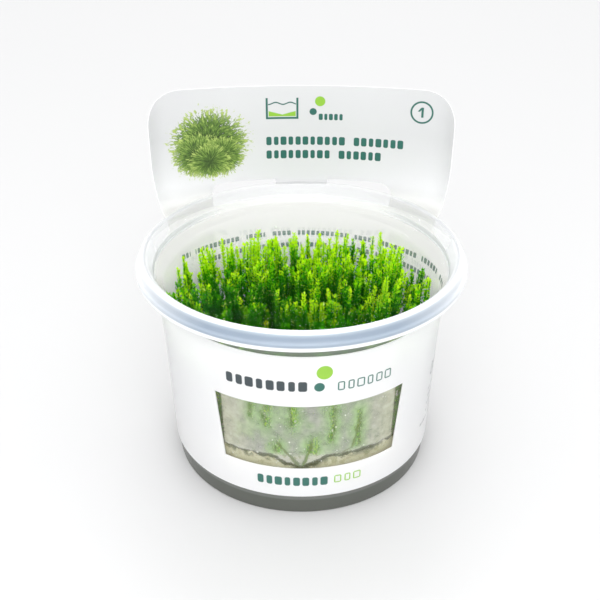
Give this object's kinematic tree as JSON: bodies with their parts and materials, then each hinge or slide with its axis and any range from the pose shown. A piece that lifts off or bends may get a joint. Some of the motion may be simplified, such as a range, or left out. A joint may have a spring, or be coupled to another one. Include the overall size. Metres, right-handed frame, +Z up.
{
  "type": "tissue culture weeping moss",
  "caption": "Upright weeping moss grown on clear gel in a clear round cup with a press-on lid and a white card sleeve with a header.",
  "frame": {"origin": "middle of the cup's flat base, on the surface that it stands on", "axes": "+Z up, -Y towards the front with the window in the card, +X to the right seen from the front"},
  "size_m": [0.1, 0.1, 0.1037],
  "materials": {
    "clear_plastic": "gloss",
    "card": "satin",
    "gel": "gloss",
    "moss": "satin"
  },
  "bodies": {
    "root": {"cup": "clear_plastic", "lid": "clear_plastic", "card_sleeve": "card", "gel": "gel", "moss_tuft_01": "moss", "moss_tuft_02": "moss", "moss_tuft_03": "moss", "moss_tuft_04": "moss", "moss_tuft_05": "moss", "moss_tuft_06": "moss", "moss_tuft_07": "moss", "moss_tuft_08": "moss", "moss_tuft_09": "moss", "moss_tuft_10": "moss", "moss_tuft_11": "moss", "moss_tuft_12": "moss", "moss_tuft_13": "moss", "moss_tuft_14": "moss", "moss_tuft_15": "moss", "moss_tuft_16": "moss", "moss_tuft_17": "moss", "moss_tuft_18": "moss", "moss_tuft_19": "moss"}
  },
  "joints": []
}
